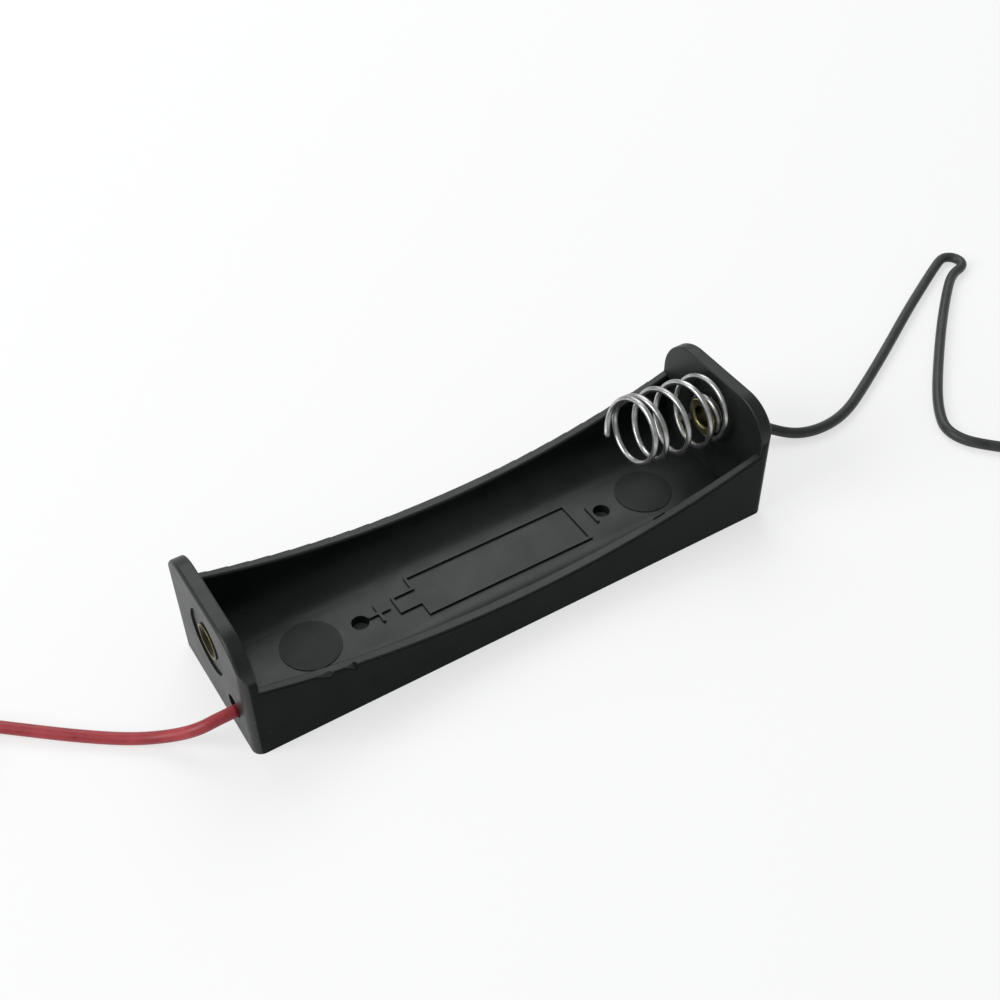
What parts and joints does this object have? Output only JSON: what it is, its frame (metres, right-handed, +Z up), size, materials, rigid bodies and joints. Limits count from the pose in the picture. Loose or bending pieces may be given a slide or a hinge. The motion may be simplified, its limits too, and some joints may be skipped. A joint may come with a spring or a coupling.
{
  "type": "cylindrical cell holder",
  "caption": "Open trough holder for a cylindrical cell, with a coil contact spring, riveted eyelet contacts, screw holes in its floor and red and black wire leads.",
  "frame": {"origin": "centre of the case's underside", "axes": "+X along the cell from the plus end to the spring, +Y across the case, +Z up out of the open bay"},
  "size_m": [0.1476, 0.0384, 0.0143],
  "materials": {
    "case_plastic": "black moulded plastic, slightly mottled satin",
    "spring_wire": "bright nickel plate",
    "eyelet_brass": "plain brass, a little dull",
    "tinned_wire": "tinned copper strands",
    "red_insulation": "soft red insulation, low gloss",
    "black_insulation": "soft black insulation, low gloss",
    "tie_plastic": "plain black tie"
  },
  "bodies": {
    "holder": {"case": "case_plastic", "positive_eyelet": "eyelet_brass", "negative_eyelet": "eyelet_brass", "red_strand": "tinned_wire", "red_lead_tail": "red_insulation", "red_lead": "red_insulation", "red_lead_coil": "red_insulation", "red_lead_tie": "tie_plastic", "red_lead_tip": "tinned_wire", "black_strand": "tinned_wire", "black_lead_tail": "black_insulation", "black_lead": "black_insulation", "black_lead_coil": "black_insulation", "black_lead_tie": "tie_plastic", "black_lead_tip": "tinned_wire"},
    "spring": {"contact_spring": "spring_wire"}
  },
  "joints": [
    {"name": "spring_compression", "type": "slide", "parent": "holder", "child": "spring", "axis": [1, 0, 0], "range_m": [0, 0.0063], "stiffness_N_per_m": 800, "deforming": ["contact_spring"]}
  ]
}
